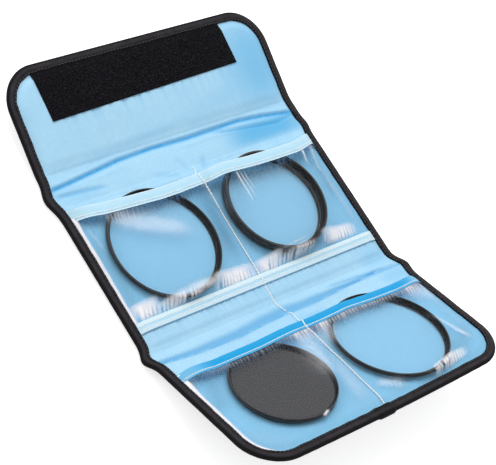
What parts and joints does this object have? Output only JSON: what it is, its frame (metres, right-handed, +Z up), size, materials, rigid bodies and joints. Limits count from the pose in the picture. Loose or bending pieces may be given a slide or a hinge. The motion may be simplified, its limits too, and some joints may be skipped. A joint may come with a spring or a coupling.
{
  "type": "lens filter case",
  "caption": "Padded folding wallet for camera lens filters, lying open, with a fastener flap and clear pockets that hold screw-in filters.",
  "frame": {"origin": "middle of the middle panel's underside, on the surface the case lies on", "axes": "+X across the case to the right as one looks from the lower panel to the flap, +Y along the case towards the flap, +Z up"},
  "size_m": [0.222, 0.3079, 0.0529],
  "materials": {
    "outer_nylon": "black woven nylon",
    "binding_tape": "black ribbed tape with a stitched edge",
    "blue_lining": "light blue satin lining",
    "foam": "soft foam",
    "clear_film": "clear glossy film",
    "pocket_ribbon": "light blue ribbon with stitching",
    "hook_tape": "black hook tape",
    "loop_tape": "black loop tape",
    "anodised_ring": "black anodised",
    "clear_glass": "coated clear glass",
    "grey_glass": "dark grey glass"
  },
  "bodies": {
    "middle_panel": {"base_ribbon_middle": "pocket_ribbon", "binding_middle_left": "binding_tape", "binding_middle_right": "binding_tape", "film_middle_left": "clear_film", "film_middle_right": "clear_film", "lining_middle": "blue_lining", "mouth_ribbon_middle": "pocket_ribbon", "pad_middle": "foam", "shell_middle": "outer_nylon"},
    "flap_spine": {"binding_flap_spine_left": "binding_tape", "binding_flap_spine_right": "binding_tape", "lining_flap_spine": "blue_lining", "pad_flap_spine": "foam", "shell_flap_spine": "outer_nylon"},
    "flap": {"binding_flap": "binding_tape", "hook_strip": "hook_tape", "lining_flap": "blue_lining", "pad_flap": "foam", "shell_flap": "outer_nylon"},
    "lower_spine": {"binding_lower_spine_left": "binding_tape", "binding_lower_spine_right": "binding_tape", "lining_lower_spine": "blue_lining", "pad_lower_spine": "foam", "shell_lower_spine": "outer_nylon"},
    "lower_panel": {"binding_lower": "binding_tape", "film_lower_left": "clear_film", "film_lower_right": "clear_film", "lining_lower": "blue_lining", "loop_strip": "loop_tape", "mouth_ribbon_lower": "pocket_ribbon", "pad_lower": "foam", "shell_lower": "outer_nylon"},
    "clear_filter_left": {"clear_filter_left_glass": "clear_glass", "clear_filter_left_retainer": "anodised_ring", "clear_filter_left_ring": "anodised_ring"},
    "filter_pair": {"pair_filter_lower_glass": "clear_glass", "pair_filter_lower_retainer": "anodised_ring", "pair_filter_lower_ring": "anodised_ring", "pair_filter_upper_glass": "clear_glass", "pair_filter_upper_retainer": "anodised_ring", "pair_filter_upper_ring": "anodised_ring"},
    "grey_filter": {"grey_filter_glass": "grey_glass", "grey_filter_retainer": "anodised_ring", "grey_filter_ring": "anodised_ring"},
    "clear_filter_right": {"clear_filter_right_glass": "clear_glass", "clear_filter_right_retainer": "anodised_ring", "clear_filter_right_ring": "anodised_ring"}
  },
  "joints": [
    {"name": "flap_spine_fold", "type": "hinge", "parent": "middle_panel", "child": "flap_spine", "pos_m": [0, 0.054, 0.0029], "axis": [-1, 0, 0], "range_deg": [-90, 0]},
    {"name": "flap_fold", "type": "hinge", "parent": "flap_spine", "child": "flap", "pos_m": [0, 0.0806, 0.0029], "axis": [-1, 0, 0], "range_deg": [-73.75, 16.25]},
    {"name": "lower_spine_fold", "type": "hinge", "parent": "middle_panel", "child": "lower_spine", "pos_m": [0, -0.054, 0.0029], "axis": [1, 0, 0], "range_deg": [-66, 24]},
    {"name": "lower_fold", "type": "hinge", "parent": "lower_spine", "child": "lower_panel", "pos_m": [0, -0.07145, 0.01067], "axis": [1, 0, 0], "range_deg": [-90, 0]},
    {"name": "clear_left_slide", "type": "slide", "parent": "middle_panel", "child": "clear_filter_left", "axis": [0, 1, 0], "range_m": [0, 0.033]},
    {"name": "pair_slide", "type": "slide", "parent": "middle_panel", "child": "filter_pair", "axis": [0, 1, 0], "range_m": [0, 0.033]},
    {"name": "grey_slide", "type": "slide", "parent": "lower_panel", "child": "grey_filter", "axis": [0, 0.9135, -0.4067], "range_m": [0, 0.029]},
    {"name": "clear_right_slide", "type": "slide", "parent": "lower_panel", "child": "clear_filter_right", "axis": [0, 0.9135, -0.4067], "range_m": [0, 0.026]}
  ]
}
